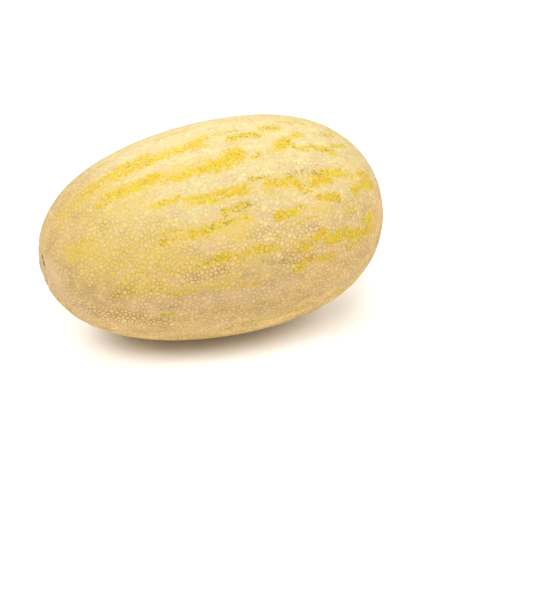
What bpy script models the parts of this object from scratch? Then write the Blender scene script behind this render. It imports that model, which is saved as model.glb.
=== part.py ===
"""A whole netted melon lying on its side: one grown piece, so one solid.

The body is turned about its own axis, which lies along X and dips a little towards the narrower stem end
at -X, as the fruit's weight makes it lie. It is fuller towards the blossom end at +X. A raised corky net
covers it all over, each end has its round scar, and it rests on a small flat spot under its weight.
"""
import math
import random
from bisect import bisect_left

import bmesh
import bpy
from mathutils import Matrix, Vector

# Driving dimensions, in metres. EGG and BLUNT shape the body's outline, as shares of its girth.
HALF_LENGTH = 0.155
GIRTH = 0.1018
EGG = 0.074
BLUNT = 0.066
FLAT_CUT = 0.0009

# The net, with cells three to four times as wide as on the fruit.
NET_CELLS = 700
CELL_STRETCH = 0.5
CELL_JITTER = 0.30
CORD_HALF_WIDTH = 0.0024
CORD_LEAST_FLOOR = 0.45
CORD_HEIGHT = 0.0014
CORD_FADE = 0.005
SCAR_FADE = 0.005
NET_SEED = 11

# Each end's scar is a turned corky disc that follows the rounded end, given as (radius, height over the
# smooth rind) from its middle to its rim. SCAR_ROOT is how far in from the end its flat back is.
STEM_SCAR = (
    (0.0, 0.0009),
    (0.0040, 0.0009),
    (0.0052, 0.0002),
    (0.0100, 0.0002),
    (0.0140, 0.0009),
    (0.0164, 0.0008),
    (0.0184, -0.0010),
)
BLOSSOM_SCAR = (
    (0.0, 0.0001),
    (0.0018, 0.0002),
    (0.0034, 0.0010),
    (0.0062, 0.0008),
    (0.0085, -0.0007),
)
SCAR_ROOT = 0.008
SCAR_SIDES = 24

OUTLINE_STEPS = 1200
SURFACE_PASSES = 4
SLOPE_STEP = 1e-4
SAME_POINT = 1e-6
GOLDEN_ANGLE = math.pi * (3.0 - math.sqrt(5.0))

RIND_COLOUR = (0.80, 0.62, 0.27, 1.0)
RIND_ROUGHNESS = 0.55


def swell(theta):
    """How much wider than a plain ellipse the outline is, at theta from the +X end to the -X end."""
    return 1.0 + EGG * math.cos(theta) + BLUNT * math.cos(2.0 * theta)


def outline(theta):
    """The place along the axis and the radius of the smooth rind."""
    return HALF_LENGTH * math.cos(theta), GIRTH * math.sin(theta) * swell(theta)


OUTLINE_THETAS = [math.pi * i / OUTLINE_STEPS for i in range(OUTLINE_STEPS + 1)]


def mass_centre():
    """How far the centre of mass lies along the axis, from thin slices of the body."""
    moment = 0.0
    volume = 0.0
    for start, end in zip(OUTLINE_THETAS, OUTLINE_THETAS[1:]):
        x, radius = outline(0.5 * (start + end))
        slice_volume = radius * radius * (outline(start)[0] - outline(end)[0])
        moment += x * slice_volume
        volume += slice_volume
    return moment / volume


def lying_turn():
    """The turn that brings the rind's nearest point to the mass centre right below it, and that distance."""
    middle = mass_centre()
    reach, x, radius = min(
        (math.hypot(x - middle, radius), x, radius) for x, radius in map(outline, OUTLINE_THETAS[1:-1])
    )
    turn = Matrix.Rotation(math.atan2(x - middle, radius), 3, "Y")
    return turn, (turn @ Vector((middle, 0.0, 0.0))).z - reach


LYING, LOWEST = lying_turn()
FLAT_LEVEL = LOWEST + FLAT_CUT


def skin_point(theta, turn):
    """The point of the smooth rind at an angle round the axis."""
    x, radius = outline(theta)
    return Vector((x, radius * math.cos(turn), radius * math.sin(turn)))


def skin_normal(theta, turn):
    """The outward normal of the smooth rind, from the slope of its outline."""
    x0, r0 = outline(theta - SLOPE_STEP)
    x1, r1 = outline(theta + SLOPE_STEP)
    along, out = r1 - r0, x0 - x1
    return Vector((along, out * math.cos(turn), out * math.sin(turn))).normalized()


def angles_at(point):
    """The outline's theta and the turn round the axis of a point near the rind."""
    radius = math.hypot(point.y, point.z)
    theta = math.atan2(radius / GIRTH, point.x / HALF_LENGTH)
    for _ in range(SURFACE_PASSES):
        theta = math.atan2(radius / (GIRTH * swell(theta)), point.x / HALF_LENGTH)
    return theta, math.atan2(point.z, point.y)


def cell_thetas():
    """Theta of each net cell's middle, so that the cells spread evenly and stretch a little lengthwise."""
    total = 0.0
    table = [0.0]
    for start, end in zip(OUTLINE_THETAS, OUTLINE_THETAS[1:]):
        x0, r0 = outline(start)
        x1, r1 = outline(end)
        run = math.hypot(x1 - x0, r1 - r0) / (end - start)
        total += 0.5 * (r0 + r1) * run ** CELL_STRETCH
        table.append(total)
    found = []
    for i in range(NET_CELLS):
        share = total * (i + 0.5) / NET_CELLS
        j = bisect_left(table, share)
        part = (share - table[j - 1]) / (table[j] - table[j - 1])
        found.append(OUTLINE_THETAS[j - 1] + part * math.pi / OUTLINE_STEPS)
    return found


def net_cells():
    """A ball of many-sided cells: jittered golden-angle points, joined up and turned into their dual."""
    rng = random.Random(NET_SEED)
    reach = CELL_JITTER * math.sqrt(4.0 * math.pi / NET_CELLS)
    bm = bmesh.new()
    for i, theta in enumerate(cell_thetas()):
        turn = i * GOLDEN_ANGLE
        place = Vector((math.cos(theta), math.sin(theta) * math.cos(turn), math.sin(theta) * math.sin(turn)))
        place += Vector([rng.uniform(-reach, reach) for _ in range(3)])
        bm.verts.new(place.normalized())
    bmesh.ops.convex_hull(bm, input=bm.verts[:])
    middles = bm.verts[:]
    spans = bm.edges[:]
    bmesh.ops.poke(bm, faces=bm.faces[:])
    bmesh.ops.rotate_edges(bm, edges=spans, use_ccw=False)
    bmesh.ops.dissolve_verts(bm, verts=middles)
    return bm


def cord_height(point):
    """The net's height over the smooth rind, which fades out at the flat spot and at both scars."""
    scar = STEM_SCAR if point.x < 0.0 else BLOSSOM_SCAR
    rim = scar[-1][0]
    rises = (
        ((LYING @ point).z - FLAT_LEVEL) / CORD_FADE,
        (math.hypot(point.y, point.z) - rim) / SCAR_FADE,
    )
    share = min(1.0, max(0.0, min(rises)))
    return CORD_HEIGHT * share * share * (3.0 - 2.0 * share)


def raise_net(bm):
    """Lays the cells on the rind, with their borders as raised cords round lower, flat cells."""
    cells = bm.faces[:]
    borders = bm.verts[:]
    for vert in borders:
        vert.co = skin_point(math.acos(vert.co.normalized().x), math.atan2(vert.co.z, vert.co.y))
    bmesh.ops.inset_individual(bm, faces=cells, thickness=0.0, depth=0.0)
    for cell in cells:
        middle = cell.calc_center_median()
        for vert in cell.verts:
            arm = vert.co - middle
            kept = max(CORD_LEAST_FLOOR, 1.0 - CORD_HALF_WIDTH / arm.length)
            vert.co = skin_point(*angles_at(middle + arm * kept))
    for vert in borders:
        vert.co += skin_normal(*angles_at(vert.co)) * cord_height(vert.co)


def cut_flat(bm, place, normal):
    """Cuts off what lies beyond a plane and closes the cut with one flat face."""
    parts = bm.verts[:] + bm.edges[:] + bm.faces[:]
    cut = bmesh.ops.bisect_plane(bm, geom=parts, plane_co=place, plane_no=normal, clear_outer=True)
    rim = [item for item in cut["geom_cut"] if isinstance(item, bmesh.types.BMEdge)]
    bmesh.ops.edgeloop_fill(bm, edges=rim)


def end_theta(radius, side):
    """Theta of the rind at a radius near one end; side is +1 for the blossom end and -1 for the stem end."""
    end = 0.0 if side > 0.0 else math.pi
    theta = end
    for _ in range(SURFACE_PASSES):
        theta = abs(end - math.asin(radius / (GIRTH * swell(theta))))
    return theta


def scar_disc(section, side):
    """A turned corky disc, which follows the rind's rounded end and is sunk well into it."""
    line = []
    for radius, height in section:
        theta = end_theta(radius, side)
        line.append(skin_point(theta, 0.0) + skin_normal(theta, 0.0) * height)
    root = side * (HALF_LENGTH - SCAR_ROOT)
    line.append(Vector((root, section[-1][0], 0.0)))
    line.append(Vector((root, 0.0, 0.0)))
    bm = bmesh.new()
    verts = [bm.verts.new(point) for point in line]
    edges = [bm.edges.new(pair) for pair in zip(verts, verts[1:])]
    bmesh.ops.spin(
        bm,
        geom=verts + edges,
        cent=(0.0, 0.0, 0.0),
        axis=(1.0, 0.0, 0.0),
        angle=2.0 * math.pi,
        steps=SCAR_SIDES,
        use_merge=True,
    )
    bmesh.ops.remove_doubles(bm, verts=bm.verts[:], dist=SAME_POINT)
    return bm


def lay_down(meshes):
    """Turns the meshes as the melon lies, with its flat at Z = 0 and its middle over the origin."""
    for bm in meshes:
        bmesh.ops.rotate(bm, cent=(0.0, 0.0, 0.0), matrix=LYING, verts=bm.verts[:])
    points = [vert.co for bm in meshes for vert in bm.verts]
    middle = [0.5 * (min(p[axis] for p in points) + max(p[axis] for p in points)) for axis in (0, 1)]
    for bm in meshes:
        bmesh.ops.translate(bm, verts=bm.verts[:], vec=(-middle[0], -middle[1], -FLAT_LEVEL))


def link_object(name, bm):
    """Makes an object of a finished bmesh."""
    bmesh.ops.recalc_face_normals(bm, faces=bm.faces[:])
    mesh = bpy.data.meshes.new(name)
    bm.to_mesh(mesh)
    bm.free()
    obj = bpy.data.objects.new(name, mesh)
    bpy.context.collection.objects.link(obj)
    return obj


def rind_material():
    """The rind's plain colour."""
    material = bpy.data.materials.new("rind")
    material.use_nodes = True
    shader = material.node_tree.nodes["Principled BSDF"]
    shader.inputs["Base Color"].default_value = RIND_COLOUR
    shader.inputs["Roughness"].default_value = RIND_ROUGHNESS
    shader.inputs["Metallic"].default_value = 0.0
    return material


def make_melon():
    """The melon's one solid: the netted body with both scar discs joined to it."""
    body = net_cells()
    raise_net(body)
    discs = {
        "stem_scar": scar_disc(STEM_SCAR, -1.0),
        "blossom_scar": scar_disc(BLOSSOM_SCAR, 1.0),
    }
    lay_down([body, *discs.values()])
    cut_flat(body, Vector((0.0, 0.0, 0.0)), Vector((0.0, 0.0, -1.0)))
    bmesh.ops.triangulate(body, faces=body.faces[:])
    melon = link_object("melon", body)
    melon.data.materials.append(rind_material())
    for name, disc in discs.items():
        guide = link_object(name, disc)
        guide.hide_render = True
        guide.display_type = "WIRE"
        join = melon.modifiers.new(name, "BOOLEAN")
        join.operation = "UNION"
        join.object = guide


def main():
    for obj in list(bpy.data.objects):
        bpy.data.objects.remove(obj, do_unlink=True)
    make_melon()


main()
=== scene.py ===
"""Looks of a whole netted melon: its rind under a fine corky net, its two scars, the studio and the camera.

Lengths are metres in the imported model's frame. Places on the rind are given as millimetres along the melon's
axis, towards the blossom end, and degrees round it: 90 is its top, 180 its near side and 270 its underside.
Colours are in linear light.
"""

import logging
import math
import random
from bisect import bisect_left
from dataclasses import dataclass, field
from enum import Enum
from functools import reduce

import bmesh
import bpy
import numpy as np
from mathutils import Matrix, Vector, noise


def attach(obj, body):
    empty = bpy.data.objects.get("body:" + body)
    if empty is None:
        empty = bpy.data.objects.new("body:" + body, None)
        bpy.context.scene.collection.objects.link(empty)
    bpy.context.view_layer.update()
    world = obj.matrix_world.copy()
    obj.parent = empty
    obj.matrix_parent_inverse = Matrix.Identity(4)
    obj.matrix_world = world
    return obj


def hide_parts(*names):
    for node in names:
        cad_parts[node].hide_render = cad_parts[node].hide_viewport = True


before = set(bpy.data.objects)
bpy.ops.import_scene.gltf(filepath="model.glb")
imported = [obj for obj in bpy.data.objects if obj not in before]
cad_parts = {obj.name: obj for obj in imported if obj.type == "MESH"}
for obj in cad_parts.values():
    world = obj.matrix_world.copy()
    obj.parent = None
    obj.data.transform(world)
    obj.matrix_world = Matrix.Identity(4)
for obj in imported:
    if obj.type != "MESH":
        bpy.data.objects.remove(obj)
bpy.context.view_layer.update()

NODE = "melon"
BODY = "root"
GOLDEN_ANGLE = math.pi * (3.0 - math.sqrt(5.0))
MM = 0.001
SURFACE_PASSES = 4
SLOPE_STEP = 1e-4
SAME_POINT = 1e-6
ORIGIN = Vector((0.0, 0.0, 0.0))
DOWN = Vector((0.0, 0.0, -1.0))
# The seeds of the slow and the quick noise that move the blotches' edges along the melon, then round it.
EDGE_SEEDS = ((3.1, 8.4), (47.3, 12.9))

Array = np.ndarray
Mesh = bmesh.types.BMesh
Colour = tuple[float, float, float, float]
Place = tuple[float, float, float]
Span = tuple[float, float]

log = logging.getLogger("melon")


def soft_step(values: Array, low: float, high: float) -> Array:
    """Eases each value from 0 to 1 as it goes from low to high."""
    share = np.clip((values - low) / (high - low), 0.0, 1.0)
    return share * share * (3.0 - 2.0 * share)


def rough_field(points: Array, along: float, across: float, seed: float) -> Array:
    """Noise from about -1 to 1 at each point, repeated so often in a metre along and across the melon."""
    moved = points * np.array((along, across, across)) + seed
    return np.array([noise.noise(Vector(point)) for point in moved])


def linked(name: str, data: bpy.types.ID) -> bpy.types.Object:
    """Makes an object and puts it in the scene.

    Args:
        name: the object's name.
        data: its mesh, lamp or camera.

    Returns:
        The object, at the origin.
    """
    thing = bpy.data.objects.new(name, data)
    bpy.context.collection.objects.link(thing)
    return thing


@dataclass
class MelonForm:
    """The melon's smooth body, turned about its own axis, and how it lies on its flat spot."""

    half_length: float = 0.155
    girth: float = 0.1018  # the radius of the plain ellipse that the outline starts from
    egg: float = 0.074  # how much fuller the blossom end is, as a share of the girth
    blunt: float = 0.066  # how much blunter the ends are than an ellipse's, as a share of it too
    flat_cut: float = 0.0009  # how deep the flat spot is cut into the belly
    outline_steps: int = 1200
    thetas: list[float] = field(default_factory=list)  # the outline's angles, from the blossom end on
    lying: Matrix = field(default_factory=Matrix)  # how the melon is turned as it lies
    flat_level: float = 0.0  # the flat spot's height before it is laid down

    def __post_init__(self) -> None:
        """Works out the turn that brings the rind's nearest point right under the centre of mass."""
        self.thetas = [math.pi * i / self.outline_steps for i in range(self.outline_steps + 1)]
        middle = self.mass_centre()
        reach, x, radius = min(
            (math.hypot(x - middle, radius), x, radius)
            for x, radius in map(self.outline, self.thetas[1:-1])
        )
        self.lying = Matrix.Rotation(math.atan2(x - middle, radius), 3, "Y")
        self.flat_level = (self.lying @ Vector((middle, 0.0, 0.0))).z - reach + self.flat_cut

    def swell(self, theta: float) -> float:
        """How much wider than a plain ellipse the outline is at theta."""
        return 1.0 + self.egg * math.cos(theta) + self.blunt * math.cos(2.0 * theta)

    def outline(self, theta: float) -> tuple[float, float]:
        """The place along the axis and the radius of the smooth rind at theta."""
        return self.half_length * math.cos(theta), self.girth * math.sin(theta) * self.swell(theta)

    def mass_centre(self) -> float:
        """How far the centre of mass lies along the axis, from thin slices of the body.

        Returns:
            The distance from the middle of the axis, towards the blossom end.
        """
        moment = 0.0
        volume = 0.0
        for start, end in zip(self.thetas, self.thetas[1:]):
            x, radius = self.outline(0.5 * (start + end))
            slice_volume = radius * radius * (self.outline(start)[0] - self.outline(end)[0])
            moment += x * slice_volume
            volume += slice_volume
        return moment / volume

    def skin_point(self, theta: float, turn: float) -> Vector:
        """The point of the smooth rind at an angle round the axis."""
        x, radius = self.outline(theta)
        return Vector((x, radius * math.cos(turn), radius * math.sin(turn)))

    def skin_normal(self, theta: float, turn: float) -> Vector:
        """The outward normal of the smooth rind.

        Args:
            theta: the outline's angle.
            turn: the angle round the axis.

        Returns:
            A vector of length 1.
        """
        x0, r0 = self.outline(theta - SLOPE_STEP)
        x1, r1 = self.outline(theta + SLOPE_STEP)
        along, out = r1 - r0, x0 - x1
        return Vector((along, out * math.cos(turn), out * math.sin(turn))).normalized()

    def angles_at(self, point: Vector) -> tuple[float, float]:
        """The outline's angle and the turn round the axis of a point near the rind.

        Args:
            point: a point in the melon's own frame, before it is laid down.

        Returns:
            Theta and the turn, in radians.
        """
        radius = math.hypot(point.y, point.z)
        theta = math.atan2(radius / self.girth, point.x / self.half_length)
        for _ in range(SURFACE_PASSES):
            theta = math.atan2(radius / (self.girth * self.swell(theta)), point.x / self.half_length)
        return theta, math.atan2(point.z, point.y)

    def end_theta(self, radius: float, side: float) -> float:
        """Theta of the smooth rind at a radius near one end.

        Args:
            radius: the distance from the axis.
            side: +1 for the blossom end and -1 for the stem end.

        Returns:
            Theta in radians.
        """
        end = 0.0 if side > 0.0 else math.pi
        theta = end
        for _ in range(SURFACE_PASSES):
            theta = abs(end - math.asin(radius / (self.girth * self.swell(theta))))
        return theta

    def lay_down(self, bm: Mesh) -> None:
        """Turns a mesh from the melon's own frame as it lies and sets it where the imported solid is."""
        bmesh.ops.rotate(bm, cent=ORIGIN, matrix=self.lying, verts=bm.verts[:])
        bmesh.ops.translate(bm, verts=bm.verts[:], vec=(0.0, 0.0, -self.flat_level))


@dataclass(frozen=True)
class Patch:
    """Where many points of the rind are, as arrays with one value for each point."""

    along: Array  # millimetres along the axis
    turn: Array  # degrees round it, from 0 to 360
    spots: Array  # the points themselves, in the melon's own frame
    from_top: Array  # degrees that the rind faces away from straight up


class Tint(str, Enum):
    """What a blotch can do to the rind; each is the name of a mesh attribute."""

    YELLOW = "yellow"
    GOLD = "gold"
    OLIVE = "olive"
    BROWN = "brown"
    WASH = "wash"
    PINK = "pink"
    CORKY = "corky"
    # Darker rind: a few dark streaks, and painted shade low on the stem end.
    DARK_STREAKS_AND_SHADE = "dark_streaks_and_shade"


# The near side's streaks by tint. Each is the first end's millimetres and degrees, the other end's, half its
# width in millimetres and its strength. The washes are wide and weak, the brown streaks add dark specks, the
# corky ones darken the net, and the last ones darken the rind as dark streaks and as painted shade low on the
# stem end.
NEAR_STREAKS = {
    Tint.YELLOW: (
        (-96, 77, -70, 76, 2.6, 0.4), (-110, 97, -88, 95, 5, 0.5), (-88, 95, -80, 95, 3.2, 0.75),
        (-80, 93.5, -52, 92, 4.2, 0.75), (-80, 98, -55, 98, 4.2, 0.7), (-54, 96, -28, 96, 5, 0.7),
        (-24, 97, -8, 95, 4.5, 0.9), (-10, 93, 0, 91, 3.5, 0.6), (75, 99.8, 81, 99.2, 2.6, 0.85),
        (-98, 112, -76, 111, 5.2, 0.7), (-74, 111, -51, 110, 4.2, 0.9), (-46, 114, -18, 115, 3.2, 0.65),
        (-34, 115, -26, 114, 3, 0.9), (-16, 113.5, -8, 113.5, 2.8, 0.85), (-6, 115, 2, 112, 3.6, 0.75),
        (0, 114, 18, 109, 6.2, 0.9), (57, 107.5, 66, 104.5, 5, 0.9), (101, 111.5, 105, 113, 3, 0.5),
        (-60, 126, -36, 126.5, 2.6, 0.55), (-46, 126.5, -38, 126, 2.5, 0.75), (-30, 129, -16, 130, 3.2, 0.9),
        (-16, 132, -8, 132, 2.2, 0.75), (37, 130, 43, 130, 3, 0.95), (49, 129.6, 54, 129.2, 3.4, 0.9),
        (91, 127.5, 105, 127.8, 3, 1), (110, 128.8, 118, 128.2, 2.6, 0.7), (115, 139, 135, 134.5, 4, 0.95),
        (0, 144.5, 11, 144, 2, 0.55), (39, 146.5, 54, 146, 3, 1), (56, 144, 66, 144, 1.8, 0.5),
        (22, 162, 33, 162.5, 2.8, 0.8), (88, 165, 92, 165, 2.8, 0.85), (120, 162, 127, 161.5, 3.2, 0.95),
        (45, 176.5, 50, 176.5, 2.8, 0.65), (70, 175, 80, 174.5, 2.8, 0.7), (81, 178, 88, 178, 2, 0.45),
    ),
    Tint.GOLD: (
        (-40, 78, -10, 77, 2.4, 0.4), (-8, 129.5, 16, 130, 3.2, 0.85), (58, 130.8, 64, 132, 3, 0.85),
        (64, 134, 72, 136.5, 3.6, 0.55), (80, 127.5, 90, 127.5, 2.2, 0.8), (80, 131.5, 89, 131.2, 4.6, 0.95),
        (126, 128, 132, 127.5, 3.2, 0.8), (-130, 142, -118, 139, 6, 0.22), (-62, 147.5, -42, 148, 2.4, 0.45),
        (-56, 143, -42, 142.5, 2.4, 0.4), (-38, 147, -22, 147, 3.4, 0.75), (79, 141, 96, 142.5, 2.8, 1),
        (-95, 168, -72, 164, 6, 0.28), (-20, 161, -8, 161, 3.4, 0.8), (-8, 162, 10, 161, 3, 0.4),
        (14, 160, 21, 160.5, 2.6, 0.8), (54, 165, 66, 163, 3.4, 0.75), (66, 162, 77, 160, 3.2, 1),
        (79, 166, 92, 165.5, 3.6, 0.9), (94, 162.5, 100, 162.5, 2.4, 0.65), (100, 167, 112, 169, 3.6, 1),
        (112, 169, 126, 172, 3.6, 0.8), (-90, 174, -62, 172, 5, 0.25), (-60, 178.5, -42, 178, 2.8, 0.4),
        (0, 178, 14, 179, 3, 0.35), (51, 175, 60, 173, 3.4, 0.8),
    ),
    Tint.OLIVE: (
        (15, 76, 40, 77, 2.6, 0.4), (0, 91.5, 28, 91, 2.5, 0.5), (20, 97, 41, 97, 3.8, 0.95),
        (50, 92, 62, 92.5, 3.8, 0.8), (66, 85, 88, 85.5, 2.6, 0.5), (100, 83, 106, 82, 2.4, 0.45),
        (111, 87, 114, 86.5, 2.4, 0.4), (101, 96.5, 112, 94.5, 2.6, 0.6), (106, 106.5, 119, 103.5, 2.4, 0.6),
        (20, 111, 50, 112, 2, 0.4), (32, 113, 36, 112, 2.4, 0.65), (60, 105, 67, 103.5, 4, 0.6),
        (68, 109, 80, 111, 2.6, 0.7), (88, 110.4, 101, 111.2, 3.6, 0.85), (22, 125, 38, 126, 1.8, 0.75),
        (-24, 145.5, 0, 144.5, 2.2, 0.8), (-6, 139.5, 12, 138, 3.2, 0.85), (62, 151, 68, 151, 2, 0.65),
        (-36, 164, -18, 162, 3.6, 0.5), (97, 174, 114, 175, 2.4, 0.6), (127, 155, 131, 154.5, 1.8, 0.6),
        (-103, 177, -90, 174, 3.5, 0.3), (-67, 193, -60, 193, 2.6, 0.65), (-76, 198.5, -66, 198.5, 2, 0.45),
    ),
    Tint.BROWN: (
        (56, 125.5, 72, 125.5, 1.5, 1), (72, 125.5, 90, 126, 1.8, 1), (-20, 143.5, -4, 142, 1.1, 0.65),
        (12, 138, 20, 138, 1.3, 0.5), (118, 162, 121, 163, 2, 0.4), (121, 156, 123, 154.5, 1.3, 0.6),
        (-102, 176, -92, 174, 3, 0.5), (18, 167, 33, 170, 1.8, 0.55), (40, 165.5, 48, 167, 1.6, 0.5),
        (-80, 183, -79, 183, 1.5, 0.6), (-72, 188, -55, 187, 1.4, 0.45), (19, 181.5, 23, 180, 1, 0.6),
    ),
    Tint.WASH: (
        (-125, 100, -60, 96, 9, 0.85), (-60, 96, 0, 93, 6, 0.7), (-95, 112, 20, 111, 6.5, 0.8),
        (-60, 128, -46, 127, 5, 0.7), (-30, 130, 20, 130, 6, 0.7), (36, 131, 110, 130, 7, 0.6),
        (-100, 122, -75, 122, 16, 0.6), (-108, 150, -60, 150, 20, 0.68), (-4, 153, 10, 153, 5, 0.7),
        (-26, 150, -18, 150, 4, 0.5), (34, 157.5, 40, 157, 4, 0.5), (48, 152, 56, 151.5, 4, 0.55),
        (74, 148, 82, 148, 5, 0.65), (102, 152, 110, 152, 5, 0.6), (86, 166, 90, 166, 4, 0.5),
        (22, 99, 30, 99, 4, 0.6), (-60, 146, 10, 146, 7, 0.8), (-60, 163, 20, 163, 7, 0.7),
        (50, 165, 125, 168, 8, 0.6), (-100, 172, -10, 175, 8, 0.6), (-130, 142, -118, 139, 8, 1),
    ),
    Tint.PINK: (
        (-154.9, 150, -149, 190, 9, 0.9), (-149, 190, -134, 204, 8, 0.95), (-30, 154, -10, 154, 5, 0.4),
        (-60, 186, 40, 184, 8, 0.6), (-90, 186, -50, 186, 6, 0.6), (-60, 170, -20, 170, 4, 0.45),
        (84, 169, 98, 168, 3, 0.8), (72, 168, 80, 170, 2.5, 0.8), (112, 160, 120, 158, 3, 0.7),
        (-20, 141, 14, 136, 2.6, 0.6),
    ),
    Tint.CORKY: (
        (-104, 177, -90, 173, 4, 0.6), (-128, 198, -88, 195, 5.5, 1), (-48, 170, -15, 168, 4, 0.55),
        (-78, 199, -58, 198, 4, 0.5), (-118, 133, -104, 130, 6, 0.4), (-142, 176, -112, 188, 9, 0.1),
        (-100, 186, -70, 188, 6, 0.1), (12, 150, 34, 151, 4.5, 0.25), (36, 170, 62, 171, 4, 0.6),
        (62, 156, 72, 157, 3.5, 0.5),
    ),
    # Painted shade low on the stem end, then a few dark streaks.
    Tint.DARK_STREAKS_AND_SHADE: (
        (-148, 148, -120, 174, 16, 0.9), (-120, 174, -100, 176, 12, 0.5), (19, 167, 33, 170, 2.2, 0.9),
        (40, 165.5, 48, 167, 2, 0.7), (0, 172, 14, 174, 3.5, 0.6), (-72, 188, -55, 187, 1.6, 0.7),
    ),
}


@dataclass(frozen=True)
class Blotch:
    """A coloured streak on the rind, from one point to another."""

    start: Span  # millimetres along the axis and degrees round it
    end: Span
    width: float  # half its width in millimetres, to where it has faded by half
    tint: Tint
    strength: float
    fade: Span = (0.15, 2.1)  # how many widths from its middle line it begins to fade and is gone

    def amount(self, patch: Patch, wander: Array, radius: Array) -> Array:
        """How strongly the blotch shows at each point.

        Args:
            patch: the points.
            wander: how far each point's place is shifted, in millimetres, so that edges come out ragged.
            radius: each point's distance from the axis, in millimetres.

        Returns:
            A number from 0 to 1 for each point.
        """
        per_degree = radius * math.pi / 180.0
        run = self.end[0] - self.start[0]
        climb = (self.end[1] - self.start[1]) * per_degree
        x = patch.along + wander[:, 0] - self.start[0]
        y = ((patch.turn - self.start[1] + 180.0) % 360.0 - 180.0) * per_degree + wander[:, 1]
        share = np.clip((x * run + y * climb) / (run * run + climb * climb), 0.0, 1.0)
        distance = np.hypot(x - share * run, y - share * climb)
        first, last = self.fade
        return self.strength * (1.0 - soft_step(distance, first * self.width, last * self.width))


@dataclass(frozen=True)
class BlotchRows:
    """All the melon's blotches: those of the near side, and rows at random places round the rest."""

    rows: Span = (210.0, 420.0)  # the turns of the first and the last random row, in degrees
    row_spacing: float = 17.0
    limits: Span = (-112.0, 126.0)  # where rows start and end along the axis, in millimetres
    stagger: float = 40.0  # how late a row may start
    lengths: Span = (6.0, 38.0)  # the least and the most, as for gaps, widths and strengths
    gaps: Span = (6.0, 32.0)
    widths: Span = (2.2, 4.6)
    stray: float = 2.5  # how far a blotch may lie off its row, in degrees
    slant: float = 1.5  # how far its end may lie off that
    strengths: Span = (0.4, 0.95)
    wash_strengths: Span = (0.3, 0.8)  # those of the wash round each blotch
    wash_reach: float = 8.0  # how far the wash goes past the blotch's ends
    wash_width: float = 2.0  # how many times as wide it is
    weights: tuple[int, int, int] = (5, 3, 3)  # how often a blotch is yellow, gold or olive
    underside: Span = (205.0, 320.0)  # the turns between which blotches are weaker
    underside_share: float = 0.4
    slow_edge: Span = (4.0, 1.8)  # how far slow noise moves edges along and round the melon, in millimetres
    quick_edge: Span = (2.2, 1.5)  # how far quick noise moves them
    seed: int = 5

    def near(self) -> list[Blotch]:
        """The near side's blotches."""
        rows = [(row, tint) for tint, streaks in NEAR_STREAKS.items() for row in streaks]
        return [Blotch(row[:2], row[2:4], row[4], tint, row[5]) for row, tint in rows]

    def far(self) -> list[Blotch]:
        """Blotches in rows for the sides that the near side's list doesn't reach.

        Returns:
            The blotches, the same ones in each run.
        """
        rng = random.Random(self.seed)
        found = []
        row = self.rows[0]
        while row < self.rows[1]:
            along = self.limits[0] + rng.uniform(0.0, self.stagger)
            share = self.underside_share if self.underside[0] < row < self.underside[1] else 1.0
            while along < self.limits[1]:
                length = rng.uniform(*self.lengths)
                turn = row + rng.uniform(-self.stray, self.stray)
                width = rng.uniform(*self.widths)
                tint = rng.choices((Tint.YELLOW, Tint.GOLD, Tint.OLIVE), weights=self.weights)[0]
                end = (along + length, turn + rng.uniform(-self.slant, self.slant))
                found.append(Blotch((along, turn), end, width, tint, share * rng.uniform(*self.strengths)))
                wash = ((along - self.wash_reach, turn), (end[0] + self.wash_reach, end[1]))
                strength = share * rng.uniform(*self.wash_strengths)
                found.append(Blotch(*wash, self.wash_width * width, Tint.WASH, strength))
                along += length + rng.uniform(*self.gaps)
            row += self.row_spacing
        return found

    def fields(self, patch: Patch) -> dict[str, Array]:
        """How strongly each tint shows at each point.

        Args:
            patch: the points.

        Returns:
            For each tint's attribute, a number from 0 to 1 for each point.
        """
        radius = np.maximum(1.0, np.hypot(patch.spots[:, 1], patch.spots[:, 2]) / MM)
        wander = np.stack([
            slow * rough_field(patch.spots, 70.0, 130.0, seed)
            + quick * rough_field(patch.spots, 260.0, 340.0, quick_seed)
            for slow, quick, (seed, quick_seed) in zip(self.slow_edge, self.quick_edge, EDGE_SEEDS)
        ], axis=1)
        totals = {tint.value: np.zeros(len(patch.along)) for tint in Tint}
        for blotch in self.near() + self.far():
            amount = blotch.amount(patch, wander, radius)
            tint = blotch.tint.value
            totals[tint] = np.maximum(totals[tint], amount)
        return totals


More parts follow.
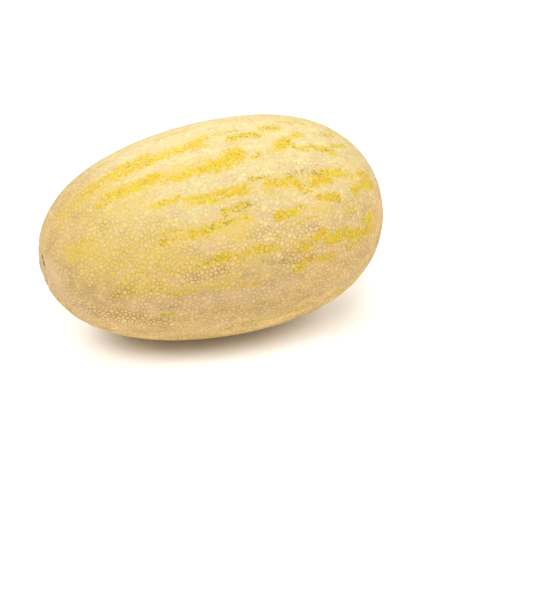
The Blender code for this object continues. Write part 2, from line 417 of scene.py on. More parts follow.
@dataclass(frozen=True)
class RindZones:
    """The slow changes over the rind: where the net stands out, and where the ground colour is tan, partly its
    own colour and partly painted shade on the flanks.

    A zone is the two values between which something comes or goes: millimetres along the axis at the stem
    end, and degrees from the top for the others.
    """

    faint_net: float = 0.42  # the net's strength on the upper blossom half, where it is weakest
    least_net: float = 0.12  # the least that it sinks to in places
    stem_zone: Span = (-140.0, -60.0)  # where the stem end's strong net gives way
    flank_zone: Span = (22.0, 80.0)  # where the flanks' strong net begins
    mottle: float = 0.45  # how much the net's strength changes from place to place
    tan_zone: Span = (28.0, 95.0)  # where the ground turns from cream to tan as it faces away from the top, partly painted shade
    stem_tan_zone: Span = (-145.0, -70.0)
    stem_tan: float = 0.85
    bands: float = 0.16  # how much the tan changes from place to place
    belly_zone: Span = (95.0, 135.0)  # where the tan turns paler underneath, partly a paler belly and partly painted bounce light

    def fields(self, patch: Patch) -> dict[str, Array]:
        """The net's strength, how tan the ground is, partly as painted shade, and how far the tan pales,
        partly as painted bounce light, at each point.

        Args:
            patch: the points.

        Returns:
            For each attribute, a number from 0 to 1 for each point.
        """
        stem = 1.0 - soft_step(patch.along, *self.stem_zone)
        net = np.maximum(stem, soft_step(patch.from_top, *self.flank_zone))
        patches = rough_field(patch.spots, 22.0, 34.0, seed=11.7)
        patches += 0.6 * rough_field(patch.spots, 60.0, 85.0, seed=19.3)
        strength = self.faint_net + (1.0 - self.faint_net) * net + self.mottle * patches
        stem = self.stem_tan * (1.0 - soft_step(patch.along, *self.stem_tan_zone))
        tan = np.maximum(stem, soft_step(patch.from_top, *self.tan_zone))
        tan += self.bands * rough_field(patch.spots, 12.0, 55.0, seed=29.0)
        return {
            "net": np.clip(strength, self.least_net, 1.0),
            "tan": np.clip(tan, 0.0, 1.0),
            "belly": soft_step(patch.from_top, *self.belly_zone),
        }


@dataclass
class CorkNet:
    """The rind with its raised corky net: cells all over the fruit, their borders raised as cords."""

    form: MelonForm
    zones: RindZones
    blotches: BlotchRows
    cells: int = 11900  # how many there would be with none left out
    merged: float = 0.09  # the share left out, whose neighbours grow into their place
    jitter: float = 0.56  # how far a cell's middle is moved, as a share of the spacing
    finer_side: Place = (-0.019, -0.060, 0.044)  # the way to the finer cells, longer for finer ones
    foot: float = 0.0009  # from a cord's middle line to its foot
    height: float = 0.0006  # a cord's, where the net is strongest
    least_rise: float = 0.3  # the share of it where the net is faintest
    # A cord's usual height, how much it changes from place to place and its least, as shares.
    wear: tuple[float, float, float] = (0.85, 0.5, 0.35)
    wear_scale: float = 110.0
    least_cork: float = 0.05  # the least cork colour of a cord's point
    gaps: float = 1.15  # how much of that colour cords lose in places, less where the net is strong
    least_floor: float = 0.4  # the least share of a cell that its floor keeps
    pillow: float = 0.00018  # a painted highlight: how much lighter a cell's middle is, as a share of the cells' spread of tones
    painted_highlight: float = 0.35  # how much lighter it is there, as a share of the cells' spread of tones
    fade: float = 0.004  # the distance from the flat spot and the scars in which cords rise
    sunk: float = 0.0012  # how far the rind lies under the scars
    tuck: Span = (-0.0022, -0.0008)  # how far inside a scar's rim it is fully sunk, and begins to sink
    seed: int = 23

    def ball_angles(self) -> Array:
        """Where the outline's thetas are on a ball, so that small shapes keep their form on the rind.

        Returns:
            Angles from 0 at the blossom end to pi at the stem end.
        """
        thetas = np.array(self.form.thetas)
        xs, radii = np.array([self.form.outline(theta) for theta in thetas]).T
        spans = np.hypot(np.diff(xs), np.diff(radii)) / (0.5 * (radii[1:] + radii[:-1]))
        depth = np.concatenate([[0.0], np.cumsum(spans)])
        return 2.0 * np.arctan(np.exp(depth - np.interp(0.5 * math.pi, thetas, depth)))

    def middles(self) -> list[tuple[float, float]]:
        """Theta and turn of each cell's middle: an even golden-angle spiral, moved a little at random.

        Returns:
            One pair for each cell, from the blossom end to the stem end.
        """
        rng = random.Random(self.seed)
        thetas = self.form.thetas
        areas = [0.0]
        for start, end in zip(thetas, thetas[1:]):
            x0, r0 = self.form.outline(start)
            x1, r1 = self.form.outline(end)
            areas.append(areas[-1] + math.pi * (r0 + r1) * math.hypot(x1 - x0, r1 - r0))
        reach = self.jitter * math.sqrt(areas[-1] / self.cells)
        found = []
        for i in range(self.cells):
            share = areas[-1] * (i + 0.5) / self.cells
            j = bisect_left(areas, share)
            part = (share - areas[j - 1]) / (areas[j] - areas[j - 1])
            theta = thetas[j - 1] + part * (thetas[j] - thetas[j - 1])
            radius = max(reach, self.form.outline(theta)[1])
            theta += rng.uniform(-reach, reach) / self.form.half_length
            turn = i * GOLDEN_ANGLE + rng.uniform(-reach, reach) / radius
            if rng.random() > self.merged:
                found.append((min(max(theta, 0.0), math.pi), turn))
        return found

    def drawn(self, place: Vector) -> Vector:
        """Moves a point of the unit ball towards the finer side, so that small shapes keep their form.

        Args:
            place: a point on the ball.

        Returns:
            The moved point, on the ball too.
        """
        way = Vector(self.finer_side)
        reach = 1.0 + way.dot(place)
        moved = 2.0 * reach * way + (1.0 - way.length_squared) * place
        return moved / (2.0 * reach - 1.0 + way.length_squared)

    def ball(self) -> Mesh:
        """A ball of many-sided cells: the middles joined up, turned into their dual and laid on the rind.

        Returns:
            A closed mesh on the smooth rind, in the melon's own frame.
        """
        angles = self.ball_angles()
        bm = bmesh.new()
        for theta, turn in self.middles():
            tilt = float(np.interp(theta, self.form.thetas, angles))
            x, radius = math.cos(tilt), math.sin(tilt)
            bm.verts.new(self.drawn(Vector((x, radius * math.cos(turn), radius * math.sin(turn)))))
        bmesh.ops.convex_hull(bm, input=bm.verts[:])
        hubs = bm.verts[:]
        spans = bm.edges[:]
        bmesh.ops.poke(bm, faces=bm.faces[:])
        bmesh.ops.rotate_edges(bm, edges=spans, use_ccw=False)
        bmesh.ops.dissolve_verts(bm, verts=hubs)
        for vert in bm.verts:
            theta = float(np.interp(math.acos(vert.co.normalized().x), angles, self.form.thetas))
            vert.co = self.form.skin_point(theta, math.atan2(vert.co.z, vert.co.y))
        return bm

    def carve(self) -> Mesh:
        """The net on the smooth rind, each vertex still flat on it and marked with how far it will rise.

        Returns:
            A mesh with the layers lift, cork and the cells' tones with their painted highlights, in the
            melon's own frame.
        """
        rng = random.Random(self.seed)
        bm = self.ball()
        lift = bm.verts.layers.float.new("lift")
        cork = bm.verts.layers.float.new("cork")
        tone_and_highlight = bm.verts.layers.float.new("cell_tone_and_highlight")
        cells = bm.faces[:]
        for vert in bm.verts:
            vert[lift], vert[cork], vert[tone_and_highlight] = self.height, rng.uniform(self.least_cork, 1.0), 0.5
        bmesh.ops.inset_individual(bm, faces=cells, thickness=0.0, depth=0.0)
        shades = [rng.random() for _ in cells]
        for cell, shade in zip(cells, shades):
            middle = cell.calc_center_median()
            for vert in cell.verts:
                arm = vert.co - middle
                kept = max(self.least_floor, 1.0 - self.foot / arm.length)
                vert.co = self.form.skin_point(*self.form.angles_at(middle + arm * kept))
                vert[lift], vert[cork], vert[tone_and_highlight] = 0.0, 0.0, shade
        hubs = bmesh.ops.poke(bm, faces=cells)["verts"]
        for vert, shade in zip(hubs, shades):
            vert.co = self.form.skin_point(*self.form.angles_at(vert.co))
            # Each middle is lighter: a painted highlight on the swelling floor.
            vert[lift], vert[cork], vert[tone_and_highlight] = self.pillow, 0.0, shade + self.painted_highlight
        return bm

    def patch(self, bm: Mesh) -> tuple[Patch, list[tuple[float, float]]]:
        """Where the mesh's vertices are on the rind.

        Args:
            bm: a mesh on the rind, in the melon's own frame.

        Returns:
            The vertices' places, and each one's theta and turn.
        """
        angles = [self.form.angles_at(vert.co) for vert in bm.verts]
        spots = np.array([vert.co for vert in bm.verts])
        turns = np.degrees(np.array([turn for _, turn in angles])) % 360.0
        outward = spots / np.array((self.form.half_length, self.form.girth, self.form.girth)) ** 2
        slopes = np.degrees(np.arccos(outward[:, 2] / np.linalg.norm(outward, axis=1)))
        return Patch(spots[:, 0] / MM, turns, spots, slopes), angles

    def scar_distance(self, spots: Array) -> Array:
        """How far each point lies outside the rim of its end's scar, below 0 under the scar."""
        rim = np.where(spots[:, 0] < 0.0, STEM_SCAR.rim, BLOSSOM_SCAR.rim)
        return np.hypot(spots[:, 1], spots[:, 2]) - rim

    def fading(self, spots: Array) -> Array:
        """The share of its height that a cord has at each point: less near the flat spot and the scars."""
        level = spots @ np.array(self.form.lying)[2] - self.form.flat_level
        return soft_step(level, 0.0, self.fade) * soft_step(self.scar_distance(spots), 0.0, self.fade)

    def build(self) -> bpy.types.Object:
        """Makes the whole rind and lays it down.

        Returns:
            The rind's object, with every field that its finish reads.
        """
        bm = self.carve()
        patch, angles = self.patch(bm)
        fields = self.zones.fields(patch)
        net = fields["net"]
        fading = self.fading(patch.spots)
        usual, change, least = self.wear
        wear = rough_field(patch.spots, self.wear_scale, self.wear_scale, seed=61.0)
        worn = np.clip(usual + change * wear, least, 1.0)
        rise = (self.least_rise + (1.0 - self.least_rise) * net) * fading * worn
        drop = self.sunk * (1.0 - soft_step(self.scar_distance(patch.spots), *self.tuck))
        lift = bm.verts.layers.float["lift"]
        cork = bm.verts.layers.float["cork"]
        for vert, (theta, turn), share, down, whole in zip(bm.verts, angles, rise, drop, net):
            vert.co += self.form.skin_normal(theta, turn) * (vert[lift] * float(share) - float(down))
            if vert[cork]:
                vert[cork] = 1.0 - (1.0 - vert[cork]) * (self.gaps - float(whole))
        bm.verts.layers.float.remove(lift)
        fields["net"] = net * fading * worn
        fields |= self.blotches.fields(patch)
        for name, amounts in fields.items():
            layer = bm.verts.layers.float.new(name)
            for vert, amount in zip(bm.verts, amounts):
                vert[layer] = float(amount)
        self.form.lay_down(bm)
        cut_flat(bm)
        return new_piece("melon_rind", bm, RindFinish().material())


def cut_flat(bm: Mesh) -> None:
    """Cuts off what lies below Z = 0 and closes the cut with one flat face.

    Args:
        bm: a closed mesh, as it lies.
    """
    parts = bm.verts[:] + bm.edges[:] + bm.faces[:]
    cut = bmesh.ops.bisect_plane(bm, geom=parts, plane_co=ORIGIN, plane_no=DOWN, clear_outer=True)
    rim = [item for item in cut["geom_cut"] if isinstance(item, bmesh.types.BMEdge)]
    bmesh.ops.edgeloop_fill(bm, edges=rim)


def new_piece(name: str, bm: Mesh, finish: bpy.types.Material) -> bpy.types.Object:
    """Makes a smooth-shaded piece of the melon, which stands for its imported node.

    Args:
        name: the piece's name.
        bm: its finished mesh, which is freed.
        finish: its material.

    Returns:
        The piece's object.
    """
    bmesh.ops.recalc_face_normals(bm, faces=bm.faces[:])
    for face in bm.faces:
        face.smooth = True
    mesh = bpy.data.meshes.new(name)
    bm.to_mesh(mesh)
    bm.free()
    mesh.materials.append(finish)
    piece = linked(name, mesh)
    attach(piece, BODY)
    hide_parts(NODE)
    return piece


@dataclass(frozen=True)
class Scar:
    """A round corky scar over one end of the melon, turned from its section and then roughened."""

    name: str
    side: float  # +1 for the blossom end and -1 for the stem end
    section: tuple[Span, ...]  # radius and height over the smooth rind, from the middle to the rim
    root: float = 0.008  # how far in from the end its back is
    roughness: float = 0.00016
    grain_scales: Span = (420.0, 1100.0)  # repeats of the coarse and the fine grain in a metre
    fibres: float = 0.00030
    fibre_waves: float = 11.0
    fibre_drift: float = 160.0  # how fast the fibres change from the middle outwards
    unevenness: float = 0.08  # how far the rim strays from a circle, as a share of its radius
    rim_waves: float = 2.3
    breaks: float = 0.8  # how deep the gaps in the raised ring are, as a share of its height
    gap_scale: float = 110.0
    gap_start: float = 0.05  # the noise over which there is a gap
    gap_slope: float = 2.5
    rounds: int = 46  # stretches of the section
    spokes: int = 132  # steps round the disc

    @property
    def rim(self) -> float:
        """The disc's radius."""
        return self.section[-1][0]

    def height(self, radius: float) -> float:
        """The disc's height over the smooth rind at a radius, eased between the section's points.

        Args:
            radius: the distance from the axis.

        Returns:
            The height in metres.
        """
        for (r0, h0), (r1, h1) in zip(self.section, self.section[1:]):
            if radius <= r1:
                share = (radius - r0) / (r1 - r0)
                return h0 + (h1 - h0) * share * share * (3.0 - 2.0 * share)
        return self.section[-1][1]

    def build(self, form: MelonForm) -> bpy.types.Object:
        """Turns the disc, roughens it and sets it on its end.

        Args:
            form: the body that it closes.

        Returns:
            The scar's object.
        """
        thetas = [form.end_theta(self.rim * i / self.rounds, self.side) for i in range(self.rounds + 1)]
        line = [form.skin_point(theta, 0.0) for theta in thetas]
        back = self.side * (form.half_length - self.root)
        line += [Vector((back, self.rim, 0.0)), Vector((back, 0.0, 0.0))]
        bm = bmesh.new()
        verts = [bm.verts.new(point) for point in line]
        edges = [bm.edges.new(pair) for pair in zip(verts, verts[1:])]
        bmesh.ops.spin(
            bm,
            geom=verts + edges,
            cent=ORIGIN,
            axis=(1.0, 0.0, 0.0),
            angle=2.0 * math.pi,
            steps=self.spokes,
            use_merge=True,
        )
        bmesh.ops.remove_doubles(bm, verts=bm.verts[:], dist=SAME_POINT)
        self.roughen(bm, form)
        form.lay_down(bm)
        return new_piece(self.name, bm, CorkFinish(self.name).material())

    def roughen(self, bm: Mesh, form: MelonForm) -> None:
        """Raises the disc's relief, with gaps in its ring and a little unevenness, and marks it.

        Args:
            bm: the turned disc, smooth and in the melon's own frame.
            form: the body that it closes.
        """
        edge = bm.verts.layers.float.new("edge")
        fibre = bm.verts.layers.float.new("fibre")
        coarse, fine = self.grain_scales
        for vert in bm.verts:
            if self.side * vert.co.x < form.half_length - self.root + SAME_POINT:
                continue
            radius = math.hypot(vert.co.y, vert.co.z)
            share = radius / self.rim
            turn = math.atan2(vert.co.z, vert.co.y)
            way = Vector((math.cos(turn), math.sin(turn), 0.0))
            stray = noise.noise(way * self.rim_waves + Vector((4.0, 1.0, self.side)))
            stray *= self.unevenness * share ** 4
            vert.co = form.skin_point(form.end_theta(radius * (1.0 + stray), self.side), turn)
            drift = Vector((0.0, 0.0, radius * self.fibre_drift))
            vert[fibre] = share * noise.noise(way * self.fibre_waves + drift)
            vert[edge] = share
            height = self.height(radius) + self.fibres * vert[fibre]
            gap = noise.noise(vert.co * self.gap_scale + Vector((5.0, 2.0, 8.0))) - self.gap_start
            height -= self.breaks * max(0.0, height) * min(1.0, max(0.0, gap) * self.gap_slope)
            grain = noise.noise(vert.co * coarse) + 0.5 * noise.noise(vert.co * fine)
            vert.co += form.skin_normal(*form.angles_at(vert.co)) * (height + self.roughness * grain)


STEM_SCAR = Scar(
    name="stem_scar",
    side=-1.0,
    section=(
        (0.0, 0.0006), (0.0040, 0.0007), (0.0052, 0.0002), (0.0100, 0.0001),
        (0.0140, 0.0003), (0.0168, 0.0002), (0.0184, -0.0004),
    ),
)
BLOSSOM_SCAR = Scar(
    name="blossom_scar",
    side=1.0,
    section=((0.0, 0.0002), (0.0018, 0.0003), (0.0034, 0.0007), (0.0062, 0.0004), (0.0085, -0.0005)),
    rounds=30,
    spokes=96,
)


class Noise(Enum):
    """The finishes' noises: repeats in a metre, detail, roughness, and the share of them lengthwise."""

    GRAIN = (900.0, 3.0, 0.55, 1.0)
    SPECK = (360.0, 4.0, 0.65, 1.0)
    FINE = (420.0, 3.0, 0.6, 1.0)
    DRIFT = (45.0, 3.0, 0.55, 1.0)
    MOTTLE = (170.0, 3.0, 0.55, 1.0)
    STREAKS = (150.0, 3.0, 0.55, 0.3)
    THREADS = (430.0, 3.0, 0.55, 0.3)
    PATCHES = (80.0, 2.0, 0.55, 0.3)
    CORK_GRAIN = (700.0, 4.0, 0.6, 1.0)
    CORK_CLOUDS = (150.0, 3.0, 0.55, 1.0)
    CORK_DASHES = (230.0, 2.0, 0.55, 1.0)


class Graph:
    """A material's node tree, with one short call to add a node and join it up."""

    def __init__(self, name: str) -> None:
        """Makes a material that holds nothing but its shader.

        Args:
            name: the material's name.
        """
        self.material = bpy.data.materials.new(name)
        self.material.use_nodes = True
        self.tree = self.material.node_tree
        self.shader = self.tree.nodes["Principled BSDF"]
        self.made: dict[Noise | str, object] = {}

    def join(self, value: object, socket: bpy.types.NodeSocket) -> None:
        """Joins a value to an input.

        Args:
            value: a noise, an attribute's name, a socket or a plain value.
            socket: the input.
        """
        if isinstance(value, (Noise, str)):
            value = self.source(value)
        if isinstance(value, bpy.types.NodeSocket):
            self.tree.links.new(value, socket)
        else:
            socket.default_value = value

    def add(
        self, kind: str, inputs: dict[str | int, object], output: str | int = 0, **settings: object
    ) -> object:
        """Adds a node.

        Args:
            kind: the node's type, without its ShaderNode prefix.
            inputs: values or sockets for its inputs, by name or number.
            output: the output wanted, by name or number.
            **settings: the node's own properties.

        Returns:
            The socket of the output wanted.
        """
        node = self.tree.nodes.new("ShaderNode" + kind)
        for name, value in settings.items():
            setattr(node, name, value)
        for name, value in inputs.items():
            self.join(value, node.inputs[name])
        return node.outputs[output]

    def source(self, wanted: Noise | str) -> object:
        """A noise or a mesh attribute, made once.

        Args:
            wanted: the noise, or the attribute's name.

        Returns:
            The socket of its value.
        """
        if wanted not in self.made and isinstance(wanted, Noise):
            scale, detail, rough, lengthwise = wanted.value
            place = self.add("TexCoord", {}, "Object")
            place = self.add("Mapping", {"Vector": place, "Scale": (lengthwise, 1.0, 1.0)})
            inputs = {"Vector": place, "Scale": scale, "Detail": detail, "Roughness": rough}
            self.made[wanted] = self.add("TexNoise", inputs, "Fac")
        elif wanted not in self.made:
            self.made[wanted] = self.add("Attribute", {}, "Fac", attribute_name=wanted)
        return self.made[wanted]

    def maths(self, operation: str, first: object, second: object, clamp: bool = False) -> object:
        """A sum, product or the like of two values, kept between 0 and 1 if clamp is set."""
        return self.add("Math", {0: first, 1: second}, operation=operation, use_clamp=clamp)

    def times(self, first: object, second: object, clamp: bool = False) -> object:
        """The product of two values."""
        return self.maths("MULTIPLY", first, second, clamp)

    def plus(self, *values: object, clamp: bool = False) -> object:
        """The sum of two or more values."""
        return reduce(lambda first, second: self.maths("ADD", first, second, clamp), values)

    def ramp(self, value: object, low: float, high: float, start: float = 0.0, end: float = 1.0) -> object:
        """Eases from start to end as the value goes from low to high."""
        inputs = {"Value": value, "From Min": low, "From Max": high, "To Min": start, "To Max": end}
        return self.add("MapRange", inputs, interpolation_type="SMOOTHSTEP")

    def mix(self, share: object, first: object, second: object, blend: str = "MIX") -> object:
        """A mix of two colours."""
        inputs = {"Factor": share, 6: first, 7: second}
        return self.add("Mix", inputs, 2, data_type="RGBA", blend_type=blend)

    def surface(self, colour: object, rough: object, shine: float) -> None:
        """Sets the shader's colour, roughness and shine, each from a socket or a plain value."""
        for name, value in (("Base Color", colour), ("Roughness", rough), ("Specular IOR Level", shine)):
            self.join(value, self.shader.inputs[name])

    def relief(self, height: object, strength: float, depth: float) -> None:
        """Gives the shader a fine relief of a strength and a depth in metres."""
        bump = self.add("Bump", {"Strength": strength, "Distance": depth, "Height": height})
        self.join(bump, self.shader.inputs["Normal"])


@dataclass(frozen=True)
class RindFinish:
    """The rind's finish: cream to tan ground with painted shade, bounce light and cell highlights, coloured
    blotches in the cells and a matt corky net.
    """

    cream: Colour = (0.62, 0.507, 0.232, 1.0)  # the ground on top
    tan: Colour = (0.62, 0.41, 0.145, 1.0)  # the ground on the flanks, darker partly as painted shade
    belly: Colour = (0.77, 0.53, 0.205, 1.0)  # the ground underneath, paler partly as painted bounce light
    yellow: Colour = (0.62, 0.455, 0.012, 1.0)
    gold: Colour = (0.61, 0.375, 0.012, 1.0)
    olive: Colour = (0.60, 0.44, 0.035, 1.0)
    wash: Colour = (0.60, 0.43, 0.085, 1.0)  # the wide yellow washes
    pink: Colour = (0.60, 0.41, 0.21, 1.0)  # the pale pinkish stretches
    speck: Colour = (0.30, 0.19, 0.025, 1.0)  # the dark specks inside the blotches
    cork: Colour = (0.425, 0.26, 0.09, 1.0)  # a cord on the flanks, darker partly as painted shade
    pale_cork: Colour = (0.54, 0.37, 0.145, 1.0)  # a cord on top
    olive_cork: Colour = (0.43, 0.285, 0.03, 1.0)  # a cord across a blotch
    dark_cork: Colour = (0.26, 0.15, 0.045, 1.0)  # a cord in the darkest stretches
    stain: Colour = (0.66, 0.58, 0.50, 1.0)  # what cork makes of the rind's colour under it
    cracks: Colour = (0.30, 0.18, 0.07, 1.0)  # a cord's cracks
    cell_tone_and_highlight_share: float = 0.14  # how much the ground's brightness changes from cell to cell, and how strong each middle's painted highlight is
    dark_streak_and_shade_depth: float = 0.15  # how much darker the rind is at the dark streaks and under the painted shade low on the stem end
    ragged: float = 0.52  # how far noise frays the blotches' edges
    net_share: float = 0.88  # how well cords cover the rind where the net is strongest
    dark_share: float = 1.1  # what the dark stretches add to that
    dark_tint: float = 0.9  # how far they darken the cords
    olive_share: float = 0.85  # how far a blotch colours the cords across it
    show_through: float = 0.4  # how much of the rind's colour shows in the cords
    shine: float = 0.32

    def material(self) -> bpy.types.Material:
        """Builds the material.

        Returns:
            The material, which reads Object coordinates and the rind's attributes.
        """
        graph = Graph("corky_rind")
        painted, cover = self.painted(graph, self.ground(graph))
        colour, cork = self.netted(graph, painted, cover)
        graph.surface(colour, graph.ramp(Noise.GRAIN, 0.2, 0.8, 0.46, 0.62), self.shine)
        graph.relief(graph.times(graph.plus(graph.times(cork, 0.8), 0.2), Noise.GRAIN), 0.35, depth=0.0005)
        return graph.material

    def ground(self, graph: Graph) -> object:
        """The colour under the blotches, with its streaks, threads, patches and tones from cell to cell, and
        its painted light: shade on the flanks and low on the stem end, bounce light underneath and a highlight
        in each cell's middle.

        Args:
            graph: the material's graph.

        Returns:
            A colour socket.
        """
        drift = graph.ramp(Noise.DRIFT, 0.3, 0.7, -0.18, 0.18)
        # Tan on the flanks, partly painted shade.
        colour = graph.mix(graph.plus("tan", drift, clamp=True), self.cream, self.tan)
        # Paler underneath, partly painted bounce light.
        colour = graph.mix("belly", colour, self.belly)
        streaks = graph.ramp(Noise.STREAKS, 0.45, 0.7, 0.0, 0.5)
        colour = graph.mix(streaks, colour, self.pink)
        patches = graph.ramp(Noise.PATCHES, 0.3, 0.7, -0.07, 0.07)
        shade = graph.plus(
            graph.ramp(Noise.FINE, 0.3, 0.7, 0.85, 0.95),
            # Random tones from cell to cell, with a painted highlight in each middle.
            graph.times("cell_tone_and_highlight", self.cell_tone_and_highlight_share),
            graph.ramp(Noise.THREADS, 0.35, 0.65, -0.05, 0.05),
            graph.times(patches, graph.plus("tan", 0.25)),
            # Dark streaks, and painted shade low on the stem end.
            graph.times(Tint.DARK_STREAKS_AND_SHADE, -self.dark_streak_and_shade_depth),
        )
        grey = graph.add("CombineColor", {"Red": shade, "Green": shade, "Blue": shade})
        return graph.mix(1.0, colour, grey, "MULTIPLY")

    def painted(self, graph: Graph, ground: object) -> tuple[object, object]:
        """The ground with its blotches, whose edges break up with the noise and from cell to cell.

        Args:
            graph: the material's graph.
            ground: the colour under them.

        Returns:
            The colour's socket, and that of how far the blotches cover each point.
        """
        cell = graph.ramp("cell_tone_and_highlight", 0.0, 1.0, -0.1, 0.1)
        ragged = graph.plus(graph.ramp(Noise.SPECK, 0.3, 0.7, -self.ragged, self.ragged), cell)
        warm = graph.mix(graph.ramp(Noise.MOTTLE, 0.42, 0.62, 0.0, 0.7), self.yellow, self.gold)
        deep = graph.mix(graph.ramp(Noise.MOTTLE, 0.35, 0.6, 0.0, 0.6), self.gold, self.yellow)
        colour = ground
        cover = 0.0
        # Each tint's paint, the strengths between which it comes in, and how much it covers at most.
        for tint, paint, low, high, most in (
            (Tint.WASH, self.wash, 0.1, 0.9, 0.95),
            (Tint.PINK, self.pink, 0.1, 0.9, 0.9),
            (Tint.GOLD, deep, 0.1, 0.72, 0.99),
            (Tint.YELLOW, warm, 0.1, 0.78, 0.98),
            (Tint.OLIVE, self.olive, 0.1, 0.78, 0.97),
        ):
            broken = graph.plus(tint, graph.times(ragged, graph.ramp(tint, 0.0, 0.35)))
            share = graph.ramp(broken, low, high, 0.0, most)
            colour = graph.mix(share, colour, paint)
            if tint in (Tint.GOLD, Tint.YELLOW, Tint.OLIVE):
                cover = graph.maths("MAXIMUM", cover, share)
        dots = graph.plus(
            graph.times(Tint.OLIVE, 0.5),
            graph.times(cover, 0.45),
            graph.times(Tint.BROWN, 1.2),
        )
        dots = graph.times(dots, graph.ramp(Noise.FINE, 0.48, 0.62), True)
        return graph.mix(dots, colour, self.speck), cover

    def netted(self, graph: Graph, painted: object, cover: object) -> tuple[object, object]:
        """The painted rind under its net.

        Args:
            graph: the material's graph.
            painted: the rind's colour between the cords.
            cover: how far the blotches cover each point.

        Returns:
            The finished colour's socket, and that of the cords' own share in it.
        """
        net = graph.times("net", self.net_share)
        strength = graph.plus(net, graph.times(Tint.CORKY, self.dark_share))
        worn = graph.times(strength, graph.ramp(Noise.SPECK, 0.3, 0.6, 0.35, 1.0))
        cork = graph.times(graph.ramp("cork", 0.0, 0.95), worn, True)
        # Cords turn darker with the tan, on the flanks partly as painted shade.
        cord = graph.mix(graph.plus("tan", Tint.CORKY, clamp=True), self.pale_cork, self.cork)
        cord = graph.mix(graph.times(cover, self.olive_share), cord, self.olive_cork)
        cord = graph.mix(graph.times(Tint.CORKY, self.dark_tint), cord, self.dark_cork)
        cord = graph.mix(self.show_through, cord, graph.mix(1.0, painted, self.stain, "MULTIPLY"))
        cracks = graph.ramp(Noise.GRAIN, 0.35, 0.7, 0.0, 0.25)
        cord = graph.mix(cracks, cord, self.cracks)
        return graph.mix(cork, painted, cord), cork


@dataclass(frozen=True)
class CorkFinish:
    """A scar's finish: dry grey-tan cork, darker in its cracks and gaps."""

    name: str
    cork: Colour = (0.48, 0.335, 0.165, 1.0)  # its middle
    worn: Colour = (0.59, 0.415, 0.20, 1.0)  # its paler outer half
    rind: Colour = (0.60, 0.405, 0.15, 1.0)  # its rim
    crack: Colour = (0.13, 0.075, 0.035, 1.0)
    shine: float = 0.25

    def material(self) -> bpy.types.Material:
        """Builds the material.

        Returns:
            The material, which reads Object coordinates and the scar's attributes.
        """
        graph = Graph(self.name + "_cork")
        clouds = graph.ramp(Noise.CORK_CLOUDS, 0.35, 0.7, 0.0, 0.55)
        colour = graph.mix(graph.ramp("edge", 0.1, 0.65), self.cork, self.worn)
        colour = graph.mix(graph.ramp("edge", 0.6, 0.9), colour, self.rind)
        colour = graph.mix(clouds, colour, self.cork)
        colour = graph.mix(graph.ramp("fibre", 0.0, 0.45, 0.0, 0.45), colour, self.worn)
        colour = graph.mix(graph.ramp("fibre", -0.1, -0.5, 0.0, 0.6), colour, self.crack)
        colour = graph.mix(graph.ramp(Noise.CORK_GRAIN, 0.5, 0.75, 0.0, 0.35), colour, self.crack)
        ring = graph.times(graph.ramp("edge", 0.74, 0.88), graph.ramp("edge", 1.0, 0.92))
        ring = graph.times(ring, graph.ramp(Noise.CORK_DASHES, 0.48, 0.58))
        colour = graph.mix(graph.times(ring, 0.85), colour, self.crack)
        graph.surface(colour, graph.ramp(Noise.CORK_GRAIN, 0.2, 0.8, 0.7, 0.9), self.shine)
        graph.relief(graph.plus(Noise.CORK_GRAIN, graph.times("fibre", 0.8)), 0.6, depth=0.0006)
        return graph.material


@dataclass(frozen=True)
class SoftBox:
    """A large square lamp that is aimed at the melon."""

    name: str
    place: Place
    size: float
    power: float  # in watts

    def build(self) -> None:
        """Makes the lamp."""
        lamp = bpy.data.lights.new(self.name, "AREA")
        lamp.shape = "SQUARE"
        lamp.size = self.size
        lamp.energy = self.power
        box = linked(self.name, lamp)
        box.location = self.place
        box.rotation_euler = (-Vector(self.place)).to_track_quat("-Z", "Y").to_euler()


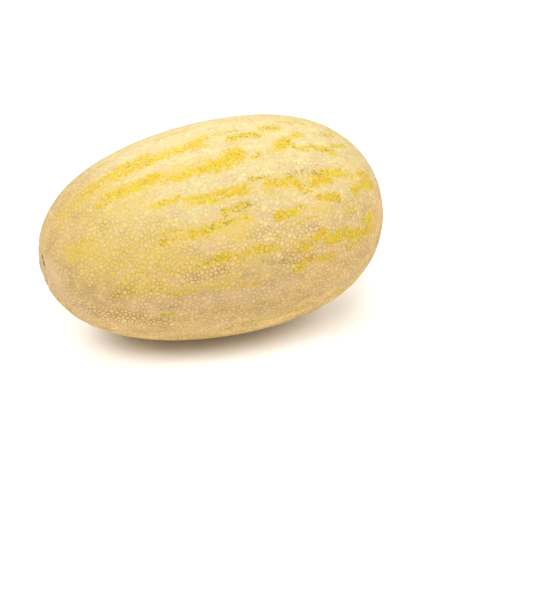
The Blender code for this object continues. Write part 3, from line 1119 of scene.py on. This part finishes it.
@dataclass(frozen=True)
class Studio:
    """A plain white floor under soft white light."""

    floor_size: float = 9.0
    floor_shade: float = 0.93  # how much light the floor gives back
    floor_roughness: float = 0.9
    sky: float = 0.45  # the strength of the light from all round
    boxes: tuple[SoftBox, ...] = (
        SoftBox("left_box", (-1.5, -0.6, 1.9), 1.0, 27.0),
        SoftBox("front_box", (-0.3, -1.15, 2.05), 1.0, 22.0),
        SoftBox("right_box", (1.7, -0.5, 1.3), 1.2, 22.0),
        SoftBox("back_box", (0.0, 1.6, 1.5), 1.6, 24.0),
    )

    def floor(self) -> None:
        """Makes the floor."""
        bm = bmesh.new()
        bmesh.ops.create_grid(bm, x_segments=1, y_segments=1, size=0.5 * self.floor_size)
        mesh = bpy.data.meshes.new("studio_floor")
        bm.to_mesh(mesh)
        bm.free()
        graph = Graph("studio_white")
        shade = (self.floor_shade, self.floor_shade, self.floor_shade, 1.0)
        graph.surface(shade, self.floor_roughness, shine=0.0)
        mesh.materials.append(graph.material)
        linked("studio_floor", mesh)

    def light(self) -> None:
        """Makes the light from all round and the soft lamps."""
        world = bpy.data.worlds.new("studio_sky")
        world.use_nodes = True
        sky = world.node_tree.nodes["Background"]
        sky.inputs["Color"].default_value = (1.0, 1.0, 1.0, 1.0)
        sky.inputs["Strength"].default_value = self.sky
        bpy.context.scene.world = world
        for box in self.boxes:
            box.build()
        bpy.context.scene.view_settings.view_transform = "Standard"


@dataclass(frozen=True)
class Viewpoint:
    """The photograph's view of the melon."""

    elevation: float = 35.0  # degrees that the camera looks down
    yaw: float = 17.6  # degrees that the blossom end is turned away from the picture's plane
    frame_px: tuple[int, int] = (558, 600)  # the photograph's width and height
    melon_px: Span = (212.8, 229.7)  # the middle of the melon's axis in it
    focal_px: float = 1500.0
    px_size: float = 0.8889 * MM  # metres to a pixel at the melon
    sensor: float = 36.0  # along the picture's long side, in millimetres

    def aim(self, form: MelonForm) -> None:
        """Makes the scene's camera and points it.

        Args:
            form: the melon that it looks at.
        """
        down, yaw = math.radians(self.elevation), math.radians(self.yaw)
        across = Vector((math.cos(yaw), -math.sin(yaw), 0.0))
        back = Vector((-math.sin(yaw) * math.cos(down), -math.cos(yaw) * math.cos(down), math.sin(down)))
        above = back.cross(across)
        right_px = 0.5 * self.frame_px[0] - self.melon_px[0]
        down_px = 0.5 * self.frame_px[1] - self.melon_px[1]
        target = Vector((0.0, 0.0, -form.flat_level)) + (across * right_px - above * down_px) * self.px_size
        data = bpy.data.cameras.new("camera")
        data.sensor_width = self.sensor
        data.lens = self.sensor * self.focal_px / max(self.frame_px)
        camera = linked("camera", data)
        camera.location = target + back * self.focal_px * self.px_size
        camera.rotation_euler = back.to_track_quat("Z", "Y").to_euler()
        bpy.context.scene.camera = camera


def main() -> None:
    """Builds the melon, the studio and the camera, and reports each piece."""
    logging.basicConfig(level=logging.INFO, format="%(message)s")
    form = MelonForm()
    pieces = [CorkNet(form, RindZones(), BlotchRows()).build()]
    pieces += [scar.build(form) for scar in (STEM_SCAR, BLOSSOM_SCAR)]
    for piece in pieces:
        log.info("%s: %d faces", piece.name, len(piece.data.polygons))
    studio = Studio()
    studio.floor()
    studio.light()
    Viewpoint().aim(form)


if __name__ == "__main__":
    main()
